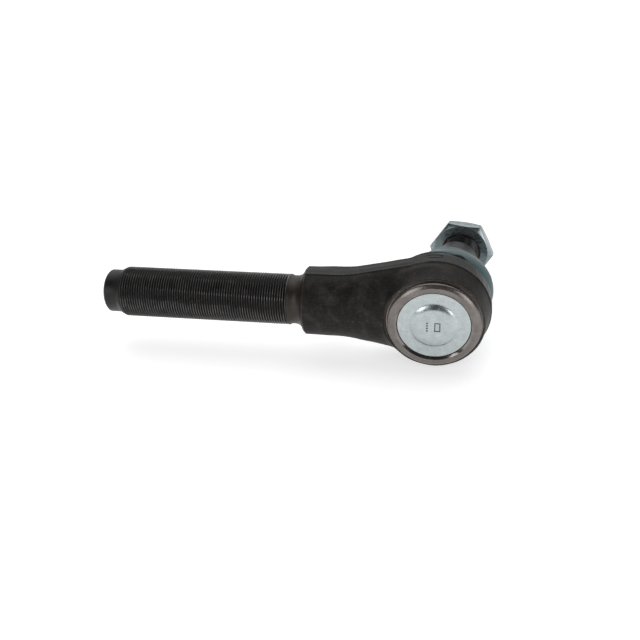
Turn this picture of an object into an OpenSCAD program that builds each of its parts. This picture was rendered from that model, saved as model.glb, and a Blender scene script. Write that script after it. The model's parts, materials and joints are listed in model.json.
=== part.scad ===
// Heavy-duty tie rod end: a forged housing with a threaded shank, a ball stud in two
// bearing seats held by a disc spring and a rolled-in end cap, a dust boot with its two
// rings, and a self-locking nut. Millimetres.
// Each piece is drawn with the head's axis along z and is then laid on its side, so that
// the shank runs along -X, the stud leaves towards +Y and the ball's centre is the origin.

/* [Shank] */
// Outside diameter of the shank's M30 x 1.5 thread
shank_thread_d = 30; // [29:0.1:30.4]
// Length of the thread at full diameter
shank_thread_len = 101.3; // [60:0.1:101.3]
// Distance from the ball's centre to the thread's inner end
shank_thread_start = 84; // [84:0.1:92]
// Diameter of the smooth pilot at the tip
pilot_d = 25.6; // [22:0.1:26.4]
// Length from the thread's outer end to the tip
pilot_len = 11.9; // [10:0.1:16]
// Diameter of the plain neck between thread and shoulder
neck_d = 28.4; // [26:0.1:28.8]
// Radius of the fillet between neck and shoulder
neck_fillet = 6; // [5:0.1:6]

/* [Arm] */
// Distance from the ball's centre to the shoulder
shoulder_x = 74.2; // [73:0.1:75]
// Width of the arm at the shoulder
arm_w = 40; // [39:0.1:40.4]
// Angle at which the arm widens towards the head
arm_flare = 13; // [11:0.5:14]
// Radius of the bend where the arm starts to widen
arm_bend_r = 60; // [40:5:70]
// Height of the trimmed parting band below the shank's axis
band_low = 5; // [4:0.1:5.5]
// Height of the arm's trimmed parting band above the shank's axis
band_high = 4.5; // [3:0.1:6]

/* [Head] */
// Diameter of the head at the parting band
head_d = 62.4; // [62:0.1:63]
// Diameter of the head's forged skin at the cap side
head_foot_d = 55.6; // [55:0.1:56.4]
// Distance from the ball's centre to the machined foot on the cap side
foot_z = 19.2; // [19:0.1:19.3]
// Height of the head's parting band above the shank's axis
head_band_high = 4.6; // [4:0.1:6.2]
// Distance from the ball's centre to the rim under the dust boot
rim_z = 8; // [7.5:0.1:8.2]
// Distance from the ball's centre to the housing's top face
top_z = 12.4; // [12:0.1:12.6]
// Diameter of the bore that holds the bearing seats
seat_bore_d = 43; // [42.6:0.1:43.2]
// Diameter of the mouth on the stud side
mouth_d = 30.4; // [30:0.1:31]
// Outside diameter of the rolled lip around the end cap
lip_d = 51.6; // [51:0.1:52]
// Inside diameter of the rolled lip
lip_inner_d = 40; // [39.6:0.1:42]

/* [End cap] */
// Diameter of the cap's disc under the lip
cap_d = 47.8; // [47:0.1:47.8]
// Thickness of the cap's sheet
cap_t = 2; // [1.8:0.1:2]
// Distance from the ball's centre to the cap's outer face
cap_z = 21.4; // [21.3:0.1:21.6]
// Diameter of the raised middle at its foot
boss_d = 26.8; // [24:0.1:27]
// Diameter of the raised middle's flat top
boss_top_d = 17.6; // [14:0.1:19]
// Height of the raised middle
boss_h = 1.6; // [1:0.1:1.8]

/* [Ball stud] */
// Diameter of the ball
ball_d = 35; // [34:0.1:35]
// Diameter of the neck above the ball
stud_neck_d = 19.2; // [17:0.1:19.4]
// Diameter of the collar under the taper
collar_d = 30.2; // [29:0.1:30.2]
// Diameter of the taper at its big end
taper_d = 29.8; // [28:0.1:29.8]
// Start and length of the 1:10 taper, along the stud
taper_z = 43; // [43:0.5:44]
// Length of the taper
taper_len = 23; // [20:0.5:23]
// Outside diameter of the stud's M24 x 1.5 thread
stud_thread_d = 24; // [23:0.1:24]
// Distance from the ball's centre to the stud's end
stud_end_z = 98.4; // [98:0.1:104]
// Lean of the stud away from the head's axis
lean = 8.7; // [0:0.1:15]
// Direction of that lean, from the shank's far side towards +y
lean_dir = 23; // [0:1:45]

/* [Lock nut] */
// Width across the flats
nut_af = 36; // [34:0.5:38]
// Distance from the ball's centre to the nut's near face
nut_z = 81.9; // [78:0.1:82]
// Height of the hexagon
hex_h = 8.4; // [8:0.1:10]
// Height of the round locking collar
collar_h = 6; // [5:0.1:7]
// Diameter of the locking collar
nut_collar_d = 32; // [30:0.1:34]
// Turn of the nut about the stud
nut_turn = 3.8; // [0:0.1:60]

/* [Dust boot] */
// Wall thickness of the rubber
boot_t = 2; // [1.6:0.1:2.2]
// Sideways bulge on the side that the stud leans to
boot_bulge = 5; // [0:0.5:5]
// Diameter of the wire of both boot rings
wire_d = 1.2; // [1:0.1:1.2]

/* [Hidden] */
$fn = 96;

running_gap = 0.05;      // radial play of a running fit
press_gap = 0.05;        // play of the pieces pressed into the housing
seal_wire_d = 1.7;       // section of the cap's seal ring
seat_split_z = -1.2;     // height at which the two bearing seats meet
seat_top_z = 9.9;        // top of the upper seat, under the housing's shoulder
seat_foot_z = -15.8;     // foot of the lower seat, on the disc spring
ball_flat_z = -16.2;     // flat under the ball
spring_t = 1.5;          // sheet of the disc spring
groove_d = 50;           // bottom of the housing's groove for the boot's bead
flange_d = 52.4;         // flange that keeps the bead in its groove
flange_h = 1.4;          // height of that flange
bead_d = 54.4;           // outside of the boot's bead, under the clamp ring
rim_draft = 2.2;         // how far the head draws in from its band to the rim
foot_lip_r = 29;         // lip at the boot's foot, under the clamp ring
rib_r = 28.5;            // rib between the clamp ring's two turns
rib_h = 0.7;             // height of that rib
clamp_groove_h = wire_d + 0.1;              // height of the groove for each turn
clamp_z = rim_z + 2.1;                      // start of the lower groove
rib_z = clamp_z + clamp_groove_h;           // foot of the rib
bead_end_z = rib_z + rib_h + clamp_groove_h; // end of the upper groove
boot_fix_z = bead_end_z; // the boot follows the housing up to here
boot_top_z = 40;         // and the stud from here on
boot_end_z = 43.6;       // the boot's upper end, which seals on the steering arm
boot_neck_d = 34;        // outside of the boot's upper neck

thread_end_x = shank_thread_start + shank_thread_len;
tip_x = thread_end_x + pilot_len;
head_r = head_d/2;
arm_r = arm_w/2;
flare_x = shoulder_x - 16.1;                      // where the arm's bend starts
bend_end_x = flare_x - arm_bend_r*sin(arm_flare);
bend_end_r = arm_r + arm_bend_r*(1 - cos(arm_flare));
tangent_x = head_r*sin(arm_flare);
tangent_r = bend_end_r + (bend_end_x - tangent_x)*tan(arm_flare);
taper_end_d = taper_d - taper_len/10;
cap_r = cap_d/2;
cap_seat_z = -cap_z + cap_t + 0.1;                // shoulder that the cap is pressed onto

function smooth(t) = t <= 0 ? 0 : t >= 1 ? 1 : t*t*(3 - 2*t);
function arc(x, y, r, a0, a1, n = 8) =
    [for (i = [0:n]) let(a = a0 + (a1 - a0)*i/n) [x + r*cos(a), y + r*sin(a)]];

// Lays the upright model on its side, head axis along +Y.
module lay_down() rotate([-90, 0, 0]) children();
// Turns the z axis into the shank's direction, -X.
module along_shank() rotate([0, -90, 0]) children();
// Leans the stud's pieces about the ball's centre.
module leaning() rotate([0, 0, lean_dir]) rotate([0, lean, 0]) rotate([0, 0, -lean_dir]) children();

// ---- housing ----
// Half of the arm's outline seen along the head's axis, from the head to the shoulder.
function arm_outline() = concat(
    [[tangent_r, tangent_x], [bend_end_r, bend_end_x]],
    [for (i = [1:5]) let(a = arm_flare*(1 - i/5))
        [arm_r + arm_bend_r*(1 - cos(a)), flare_x - arm_bend_r*sin(a)]],
    [[arm_r, shoulder_x]]);

// Height of the arm's upper side: it drops from the shoulder to the head's rim.
function arm_top(x) = rim_z - 0.5 + (arm_r + 1 - rim_z)*smooth((x - 36)/26);

module shank() {
    pilot_r = pilot_d/2;
    neck_r = neck_d/2;
    thread_r = shank_thread_d/2;
    fillet_x = shoulder_x + 1 + neck_fillet*0.97;
    along_shank() {
        rotate_extrude() polygon(concat(
            [[0, shoulder_x - 20], [arm_r, shoulder_x - 20], [arm_r, shoulder_x],
             [arm_r - 1.4, shoulder_x + 1]],
            arc(neck_r + neck_fillet, fillet_x, neck_fillet, 256, 180),
            [[neck_r, shank_thread_start], [0, shank_thread_start]]));
        translate([0, 0, shank_thread_start])
            cylinder(r = thread_r, h = shank_thread_len);
        rotate_extrude() polygon([[0, thread_end_x], [thread_r, thread_end_x],
            [pilot_r, thread_end_x + 4.2], [pilot_r, tip_x - 1.2], [pilot_r - 1.2, tip_x],
            [0, tip_x]]);
    }
}

module arm() {
    side = concat(
        [[0, -foot_z], [arm_r + 20, -foot_z - 0.4], [shoulder_x, -arm_r - 0.1]],
        [for (i = [0:10]) let(x = shoulder_x*(1 - i/10)) [x, arm_top(x)]]);
    intersection() {
        along_shank() rotate_extrude()
            polygon(concat([[0, 0], [tangent_r, 0]], arm_outline(), [[0, shoulder_x]]));
        mirror([1, 0, 0]) rotate([90, 0, 0]) translate([0, 0, -head_r])
            linear_extrude(head_d) polygon(side);
    }
    // The trimmed parting band stands a little proud of the rounded flanks.
    intersection() {
        translate([0, 0, -band_low]) linear_extrude(band_low + band_high)
            for (s = [0, 1]) mirror([0, s]) polygon(concat([[0, 0]],
                [for (p = arm_outline()) [-p[1], p[0]]], [[-shoulder_x, 0]]));
        mirror([1, 0, 0]) rotate([90, 0, 0]) translate([0, 0, -head_r])
            linear_extrude(head_d) polygon(side);
    }
}

module head_skin() rotate_extrude() polygon([
    [0, -foot_z], [head_foot_d/2 - 0.6, -foot_z], [head_foot_d/2, -foot_z + 0.5],
    [head_r - 0.4, -band_low], [head_r, -band_low], [head_r, head_band_high],
    [head_r - rim_draft, rim_z], [groove_d/2, rim_z], [groove_d/2, top_z - flange_h],
    [flange_d/2, top_z - flange_h], [flange_d/2, top_z], [0, top_z]]);

module rolled_lip() {
    lip_r = lip_d/2;
    seat_z = -cap_z - press_gap;
    rotate_extrude() polygon(concat(
        [[cap_r + 0.1, -foot_z + 1], [lip_r, -foot_z + 1], [lip_r, -cap_z + 0.9]],
        arc(lip_r - 1.9, -cap_z + 0.9, 1.9, 0, -90),
        [[lip_inner_d/2 + 1.5, seat_z - 1], [lip_inner_d/2, seat_z - 0.2],
         [lip_inner_d/2, seat_z], [cap_r + 0.1, seat_z]]));
}

module housing() lay_down() color("#2b2725") {
    difference() {
        union() {
            shank();
            arm();
            head_skin();
        }
        // cylinder for the bearing seats, and its mouth on the stud side
        translate([0, 0, -foot_z - 1]) cylinder(d = seat_bore_d, h = seat_top_z + foot_z + 1.05);
        translate([0, 0, seat_top_z])
            cylinder(d1 = mouth_d, d2 = mouth_d + 6, h = top_z - seat_top_z + 0.01);
        // seal groove, cap recess and the machined relief around the lip
        translate([0, 0, -foot_z - 1])
            cylinder(d = cap_d - 1.2, h = cap_seat_z + foot_z + 2.8);
        translate([0, 0, -foot_z - 1])
            cylinder(d = cap_d + 0.2, h = cap_seat_z + foot_z + 1);
        translate([0, 0, -foot_z - 1]) difference() {
            cylinder(d = lip_d + 1.8, h = 1.5);
            cylinder(d = lip_d, h = 1.5);
        }
    }
    rolled_lip();
}

// ---- bearing and cap ----
module upper_bearing_seat() lay_down() color("#d9d2bd") difference() {
    translate([0, 0, seat_split_z])
        cylinder(d = seat_bore_d - 2*press_gap, h = seat_top_z - seat_split_z);
    sphere(d = ball_d + 2*running_gap);
    for (a = [0:45:359]) rotate([0, 0, a]) translate([ball_d/2 - 0.6, -0.75, seat_split_z - 1])
        cube([1.4, 1.5, seat_top_z - seat_split_z - 2]);
}

module lower_bearing_seat() lay_down() color("#d9d2bd") difference() {
    translate([0, 0, seat_foot_z])
        cylinder(d = seat_bore_d - 2*press_gap, h = seat_split_z - seat_foot_z - press_gap);
    sphere(d = ball_d + 2*running_gap);
    translate([0, 0, seat_foot_z - 1]) cylinder(r = 8.5, h = 4);
}

module disc_spring() lay_down() color("#3d4148") {
    foot = -cap_z + cap_t + press_gap;
    head = seat_foot_z - press_gap;
    rotate_extrude() polygon([[21.2, foot], [21.2, foot + spring_t], [15.2, head],
                              [15.2, head - spring_t]]);
}

module cap_seal_ring() lay_down() color("#151515")
    translate([0, 0, -foot_z + 0.8]) rotate_extrude()
        translate([(seat_bore_d + cap_d)/4 - 0.3, 0]) circle(d = seal_wire_d, $fn = 32);

module end_cap() lay_down() color("#b9c4c6") {
    outer = -cap_z;
    inner = -cap_z + cap_t;
    foot = boss_d/2;
    top = boss_top_d/2;
    middle = (foot + top)/2;
    rotate_extrude() polygon([[0, outer - boss_h], [top, outer - boss_h],
        [middle, outer - 0.75*boss_h], [foot, outer], [cap_r - 0.3, outer],
        [cap_r, outer + 0.3], [cap_r, inner], [foot - 0.8, inner],
        [top - 0.4, inner - boss_h], [0, inner - boss_h]]);
}

// ---- dust boot and its rings ----
module boot_clamp_ring() lay_down() color("#6f7475")
    for (turn = [0, 1]) translate([0, 0, clamp_z + clamp_groove_h/2 + turn*(clamp_groove_h + rib_h)])
        rotate_extrude() translate([(bead_d + wire_d)/2 + press_gap, 0]) circle(d = wire_d, $fn = 32);

// Outside of the boot from bead to neck as [height, radius], then its inside back again.
boot_outside = [[rim_z + 0.3, foot_lip_r], [clamp_z - 0.4, foot_lip_r], [clamp_z, bead_d/2],
    [rib_z, bead_d/2], [rib_z + 0.1, rib_r], [rib_z + rib_h - 0.1, rib_r],
    [rib_z + rib_h, bead_d/2], [bead_end_z, bead_d/2], [14.2, 27.9], [17, 27.9],
    [22, 27.1], [28, 25.4], [34, 23.4], [38, 21.7], [40.4, 19.6], [40.8, boot_neck_d/2],
    [boot_end_z, boot_neck_d/2]];
boot_inside = [[boot_end_z, collar_d/2 + 0.15], [40.2, collar_d/2 + 0.15],
    [39, 19 - boot_t/2], [37, 21.6 - boot_t], [33, 23.6 - boot_t], [27, 25.4 - boot_t],
    [21, 27 - boot_t], [16, 27.6 - boot_t], [boot_fix_z, flange_d/2 + 0.3],
    [top_z - flange_h - 0.3, flange_d/2 + 0.3], [top_z - flange_h - 0.3, groove_d/2 + 0.3],
    [rim_z + 0.3, groove_d/2 + 0.3]];
boot_sides = 48;

// A ring of points at height z on a centre line that bends from the head's axis to the stud's.
function boot_ring(z, r) =
    let(t = (z - boot_fix_z)/(boot_top_z - boot_fix_z), s = smooth(t), a = lean*s,
        out = z*sin(lean)*s + boot_bulge*sin(180*min(max(t, 0), 1)),
        up = z*(1 - s) + z*cos(lean)*s)
    [for (i = [0:boot_sides - 1]) let(p = 360*i/boot_sides, x = out + r*cos(p)*cos(a), y = r*sin(p))
        [x*cos(lean_dir) - y*sin(lean_dir), x*sin(lean_dir) + y*cos(lean_dir),
         up - r*cos(p)*sin(a)]];

module dust_boot() lay_down() color("#4d6f72") {
    profile = concat(boot_outside, boot_inside);
    m = len(profile);
    n = boot_sides;
    polyhedron(
        points = [for (q = profile) each boot_ring(q[0], q[1])],
        faces = [for (k = [0:m - 1], i = [0:n - 1])
            let(a = k*n + i, b = k*n + (i + 1)%n, c = ((k + 1)%m)*n + i, d = ((k + 1)%m)*n + (i + 1)%n)
            each [[a, c, b], [b, c, d]]]);
}

module boot_collar_ring() lay_down() leaning() color("#6f7475")
    translate([0, 0, boot_end_z - 1.4]) rotate_extrude()
        translate([(boot_neck_d + wire_d)/2 + 0.1, 0]) circle(d = wire_d, $fn = 32);

// ---- ball stud and nut ----
module ball_stud() lay_down() leaning() color("#4a4540") difference() {
    union() {
        sphere(d = ball_d);
        rotate_extrude() polygon(concat(
            [[0, 0], [stud_neck_d/2, 0]],
            arc(stud_neck_d/2 + 14, 23, 14, 180, 128, 6),
            [[collar_d/2, 36.5], [collar_d/2, taper_z - 0.4], [taper_d/2, taper_z],
             [taper_end_d/2, taper_z + taper_len], [stud_thread_d/2, taper_z + taper_len + 1.6],
             [0, taper_z + taper_len + 1.6]]));
        translate([0, 0, taper_z + taper_len])
            cylinder(d = stud_thread_d, h = stud_end_z - 1.4 - taper_z - taper_len);
        translate([0, 0, stud_end_z - 1.4])
            cylinder(d1 = stud_thread_d, d2 = stud_thread_d - 2.8, h = 1.4);
    }
    translate([0, 0, ball_flat_z - 5]) cylinder(d = ball_d, h = 5);
}

module lock_nut() lay_down() leaning() translate([0, 0, nut_z]) rotate([0, 0, nut_turn])
    color("#9fb0b6") difference() {
        union() {
            intersection() {
                cylinder(d = nut_af/cos(30), h = hex_h, $fn = 6);
                union() {
                    cylinder(d1 = nut_af - 0.6, d2 = nut_af + 6.34, h = 2);
                    translate([0, 0, 2]) cylinder(d = nut_af + 6.34, h = hex_h - 4);
                    translate([0, 0, hex_h - 2]) cylinder(d1 = nut_af + 6.34, d2 = nut_af - 0.6, h = 2);
                }
            }
            cylinder(d = nut_collar_d, h = hex_h + collar_h - 0.8);
            translate([0, 0, hex_h + collar_h - 0.8])
                cylinder(d1 = nut_collar_d, d2 = nut_collar_d - 1.6, h = 0.8);
        }
        translate([0, 0, -1]) cylinder(d = stud_thread_d + 2*running_gap, h = hex_h + collar_h + 2);
        translate([0, 0, -0.01])
            cylinder(d1 = stud_thread_d + 1.4, d2 = stud_thread_d, h = 0.7);
    }

housing();
upper_bearing_seat();
lower_bearing_seat();
disc_spring();
cap_seal_ring();
end_cap();
boot_clamp_ring();
dust_boot();
boot_collar_ring();
ball_stud();
lock_nut();
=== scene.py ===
"""Tie rod end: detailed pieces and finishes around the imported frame.

Shapes are worked out in millimetres in the head's own frame: z runs along the head's axis,
with the end cap at -z and the stud at +z, and the shank runs along -x. to_row() lays them on
their side, in metres, as the frame has them.
"""
import json
import math

import bmesh
import bpy
import numpy as np
import openvdb
from mathutils import Euler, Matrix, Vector


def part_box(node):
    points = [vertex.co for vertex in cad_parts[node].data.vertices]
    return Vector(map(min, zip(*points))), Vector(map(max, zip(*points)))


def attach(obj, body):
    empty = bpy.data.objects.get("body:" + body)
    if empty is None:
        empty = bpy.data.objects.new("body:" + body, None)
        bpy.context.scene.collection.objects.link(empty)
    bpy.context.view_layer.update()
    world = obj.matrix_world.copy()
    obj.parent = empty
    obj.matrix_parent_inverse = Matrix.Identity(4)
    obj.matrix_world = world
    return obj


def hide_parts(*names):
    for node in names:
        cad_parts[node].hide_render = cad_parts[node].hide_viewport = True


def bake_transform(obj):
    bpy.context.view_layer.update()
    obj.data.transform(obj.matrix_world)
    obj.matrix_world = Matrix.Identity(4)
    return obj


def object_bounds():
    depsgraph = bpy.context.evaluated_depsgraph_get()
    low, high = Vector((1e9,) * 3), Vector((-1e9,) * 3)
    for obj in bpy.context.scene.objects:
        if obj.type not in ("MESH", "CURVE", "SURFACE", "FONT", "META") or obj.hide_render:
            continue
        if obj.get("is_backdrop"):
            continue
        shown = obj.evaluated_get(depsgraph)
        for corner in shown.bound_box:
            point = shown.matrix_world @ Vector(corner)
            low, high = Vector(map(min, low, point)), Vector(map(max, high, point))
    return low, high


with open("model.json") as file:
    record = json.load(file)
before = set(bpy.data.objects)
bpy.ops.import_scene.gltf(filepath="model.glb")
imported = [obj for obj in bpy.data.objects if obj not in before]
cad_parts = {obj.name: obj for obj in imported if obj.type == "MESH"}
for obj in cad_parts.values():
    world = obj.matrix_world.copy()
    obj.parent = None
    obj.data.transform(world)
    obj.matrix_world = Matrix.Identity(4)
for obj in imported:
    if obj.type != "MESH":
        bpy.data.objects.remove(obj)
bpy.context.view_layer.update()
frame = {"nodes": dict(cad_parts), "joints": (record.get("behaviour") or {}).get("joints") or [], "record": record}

# ---- sizes, in millimetres ----
MOUNTS = {m["name"]: m for m in frame["record"]["mounts"]}
JOINTS = {j["name"]: j for j in frame["joints"]}


def head_box(node):
    """Lowest and highest corner of a CAD node, in the head's frame."""
    lo, hi = (np.array(c) * 1000 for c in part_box(node))
    return np.array([lo[0], -hi[2], lo[1]]), np.array([hi[0], -lo[2], hi[1]])


SHANK_R = MOUNTS["shank_thread"]["dims"]["r_mm"]
SHANK_THREAD = MOUNTS["shank_thread"]["dims"]["length_mm"]
THREAD_START = -1000 * MOUNTS["shank_thread"]["pos_m"][0] - SHANK_THREAD / 2
THREAD_END = THREAD_START + SHANK_THREAD
TIP = -head_box("housing")[0][0]
HEAD_R = head_box("housing")[1][0]
LIP_CROWN = head_box("housing")[0][2] + 0.02
STUD_AXIS = Vector(JOINTS["stud_spin"]["axis"]).normalized()
LEAN = math.acos(STUD_AXIS.y)
LEAN_DIR = math.atan2(-STUD_AXIS.z, STUD_AXIS.x)

PITCH = 1.5
THREAD_DEPTH = 0.92
PILOT_R = 12.8
NECK_R = 14.2
SHOULDER = 74.2
ARM_R = 20.0
FLARE = math.radians(13)
BEND_R = 60.0
BEND_START = SHOULDER - 16.1
BAND_LOW = -5.0
BAND_HIGH = 4.6
RIM_DRAFT = 2.2
FOOT_Z = -19.2
FOOT_R = 27.8
RIM_Z = 8.0
TOP_Z = 12.4
LIP_R = 25.8
LIP_INNER_R = 20.0
CREVICE = 0.45
CAP_Z = -21.4
CAP_T = 2.0
CAP_R = 23.9
BOSS_R = 13.4
BOSS_TOP_R = 8.8
BOSS_H = 1.6
MARK_DEPTH = 0.4
SEAT_BORE_R = 21.5
BALL_R = 17.5
BALL_FLAT = -16.2
COLLAR_R = 15.1
TAPER_Z = 43.0
TAPER_R = 14.9
TAPER_END_Z = 66.0
TAPER_END_R = 13.75
STUD_R = 12.0
STUD_END = 98.4
NUT_Z = 81.9
NUT_AF = 36.0
HEX_H = 8.4
NUT_H = 14.4
NUT_COLLAR_R = 16.0
NUT_TURN = math.radians(3.8)
WIRE_R = 0.6
RING_LOW, RING_HIGH = (corner[2] for corner in head_box("boot_clamp_ring"))
TURN_Z = (RING_LOW + WIRE_R, RING_HIGH - WIRE_R)
RING_PLAY = 0.05
CROSSING = math.radians(-67)
BEAD_R = 27.2
FOOT_LIP_R = 29.0
RIB_R = 28.5
CLAMP_Z = RING_LOW - RING_PLAY
RIB_Z = TURN_Z[0] + WIRE_R + RING_PLAY
RIB_END_Z = TURN_Z[1] - WIRE_R - RING_PLAY
BEAD_END_Z = RING_HIGH + RING_PLAY
BOOT_FIX_Z = BEAD_END_Z
BOOT_TOP_Z = 40.0
BOOT_END_Z = 43.6
BOOT_BULGE = 5.0
BOOT_NECK_R = 17.0
BOOT_NECK_OUT_R = 20.4


# ---- placing ----
def to_row(p):
    """Points of the head's frame, in millimetres, in the row frame in metres."""
    p = np.asarray(p, float)
    return np.stack([p[:, 0], p[:, 2], -p[:, 1]], 1) / 1000


def turn_z(p, angle):
    c, s = math.cos(angle), math.sin(angle)
    return np.stack([p[:, 0] * c - p[:, 1] * s, p[:, 0] * s + p[:, 1] * c, p[:, 2]], 1)


def turn_y(p, angle):
    c, s = math.cos(angle), math.sin(angle)
    return np.stack([p[:, 0] * c + p[:, 2] * s, p[:, 1], -p[:, 0] * s + p[:, 2] * c], 1)


def upright(p):
    """For pieces about the head's axis."""
    return p


def leaning(p):
    """For pieces about the stud's axis, which leans away from the head's."""
    return turn_z(turn_y(turn_z(p, -LEAN_DIR), LEAN), LEAN_DIR)


def along_shank(p):
    """For pieces about the shank's axis: z becomes -x."""
    return np.stack([-p[:, 2], p[:, 1], p[:, 0]], 1)


# ---- meshes ----
def make(name, points, faces, place=upright):
    """A closed, smooth mesh object from points in millimetres."""
    points = to_row(place(np.asarray(points, float)))
    if not np.isfinite(points).all():
        raise ValueError(name + " has a point that isn't a number")
    mesh = bpy.data.meshes.new(name)
    mesh.from_pydata(points.tolist(), [], faces)
    obj = bpy.data.objects.new(name, mesh)
    bpy.context.scene.collection.objects.link(obj)
    return obj


def rounded(corners, steps=5):
    """A path of (r, z) through corners given as (r, z) or as (r, z, radius of the rounding)."""
    path = []
    last = len(corners) - 1
    for i, corner in enumerate(corners):
        here = np.array(corner[:2], float)
        if len(corner) < 3 or i in (0, last):
            path.append(here)
            continue
        to_a = np.array(corners[i - 1][:2], float) - here
        to_b = np.array(corners[i + 1][:2], float) - here
        a, b = (v / np.linalg.norm(v) for v in (to_a, to_b))
        half = math.acos(np.clip(a @ b, -1, 1)) / 2
        if half > math.radians(88):
            path.append(here)
            continue
        centre = here + (a + b) / np.linalg.norm(a + b) * corner[2] / math.sin(half)
        reach = corner[2] / math.tan(half)
        start, end = here + a * reach - centre, here + b * reach - centre
        angle = math.acos(np.clip(start @ end / corner[2] ** 2, -1, 1))
        for k in range(steps + 1):
            t = k / steps
            path.append(centre + (math.sin((1 - t) * angle) * start + math.sin(t * angle) * end)
                        / math.sin(angle))
    return np.array(path)


def revolve(path, sides=96, shape=None):
    """A solid of revolution about z. A path that starts and ends on the axis gets poles there, and any
    other path is closed. shape(r, z, angle) may change the radii."""
    path = np.asarray(path, float)
    poled = path[0][0] < 1e-6 and path[-1][0] < 1e-6
    rings = path[1:-1] if poled else path
    angle = np.arange(sides) * 2 * math.pi / sides
    z, angle = np.meshgrid(rings[:, 1], angle, indexing="ij")
    r = np.repeat(rings[:, :1], sides, 1)
    if shape:
        r = shape(r, z, angle)
    points = np.stack([r * np.cos(angle), r * np.sin(angle), z], 2).reshape(-1, 3).tolist()
    n = len(rings)
    faces = []
    for k in range(n if not poled else n - 1):
        for i in range(sides):
            j, m = (i + 1) % sides, (k + 1) % n
            faces.append((k * sides + i, k * sides + j, m * sides + j, m * sides + i))
    if poled:
        points += [[0, 0, path[0][1]], [0, 0, path[-1][1]]]
        for i in range(sides):
            j = (i + 1) % sides
            faces.append((j, i, n * sides))
            faces.append(((n - 1) * sides + i, (n - 1) * sides + j, n * sides + 1))
    return points, faces


def outward(obj):
    """Turns a closed mesh's faces outwards."""
    mesh = obj.data
    mesh.calc_loop_triangles()
    co = np.array([v.co for v in mesh.vertices])
    tri = np.array([t.vertices[:] for t in mesh.loop_triangles])
    a, b, c = co[tri[:, 0]], co[tri[:, 1]], co[tri[:, 2]]
    if np.einsum("ij,ij->i", a, np.cross(b, c)).sum() < 0:
        mesh.flip_normals()
    return obj


def solid(name, path, sides=96, shape=None, place=upright):
    return outward(make(name, *revolve(path, sides, shape), place))


def block(name, size, centre, place=upright):
    """A box, as a cutter."""
    corners = np.array([[x, y, z] for x in (-1, 1) for y in (-1, 1) for z in (-1, 1)]) / 2
    faces = [(0, 1, 3, 2), (4, 6, 7, 5), (0, 4, 5, 1), (2, 3, 7, 6), (0, 2, 6, 4), (1, 5, 7, 3)]
    return outward(make(name, corners * size + centre, faces, place))


def apply_modifiers(obj):
    graph = bpy.context.evaluated_depsgraph_get()
    graph.update()
    mesh = bpy.data.meshes.new_from_object(obj.evaluated_get(graph))
    obj.modifiers.clear()
    old, obj.data = obj.data, mesh
    mesh.name = obj.name
    bpy.data.meshes.remove(old)


def volume(obj):
    """Cubic millimetres inside a closed mesh."""
    mesh = bmesh.new()
    mesh.from_mesh(obj.data)
    inside = mesh.calc_volume() * 1e9
    mesh.free()
    return inside


def combine(obj, others, operation):
    """Joins, cuts or intersects obj with other closed meshes, which are used up."""
    for other in others:
        before = volume(obj)
        boolean = obj.modifiers.new("boolean", "BOOLEAN")
        boolean.operation = operation
        boolean.solver = "MANIFOLD"
        boolean.object = other
        apply_modifiers(obj)
        if abs(volume(obj) - before) < 1e-3:
            raise RuntimeError(operation + " did nothing to " + obj.name)
    for other in others:
        mesh = other.data
        bpy.data.objects.remove(other)
        bpy.data.meshes.remove(mesh)
    return obj


def bevel(obj, width, angle=35):
    """Softens the sharp edges, by a width in millimetres."""
    modifier = obj.modifiers.new("bevel", "BEVEL")
    modifier.width = width / 1000
    modifier.segments = 2
    modifier.limit_method = "ANGLE"
    modifier.angle_limit = math.radians(angle)
    apply_modifiers(obj)
    return obj


def finish_piece(obj, body, materials, replaces=(), sharp=35, kinds=None):
    """Shades a finished piece, gives it its materials and makes it ride on its body."""
    obj.data.materials.clear()
    for material in materials:
        obj.data.materials.append(material)
    if kinds is not None:
        obj.data.polygons.foreach_set("material_index", kinds.astype(np.int32))
    obj.data.shade_smooth()
    obj.data.set_sharp_from_angle(angle=math.radians(sharp))
    if replaces:
        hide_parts(*replaces)
    if body:
        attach(obj, body)
    return obj


def face_centres(obj):
    """Centres of the faces, back in the head's frame in millimetres."""
    centres = np.zeros(len(obj.data.polygons) * 3)
    obj.data.polygons.foreach_get("center", centres)
    centres = centres.reshape(-1, 3) * 1000
    return np.stack([centres[:, 0], -centres[:, 2], centres[:, 1]], 1)


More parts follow.
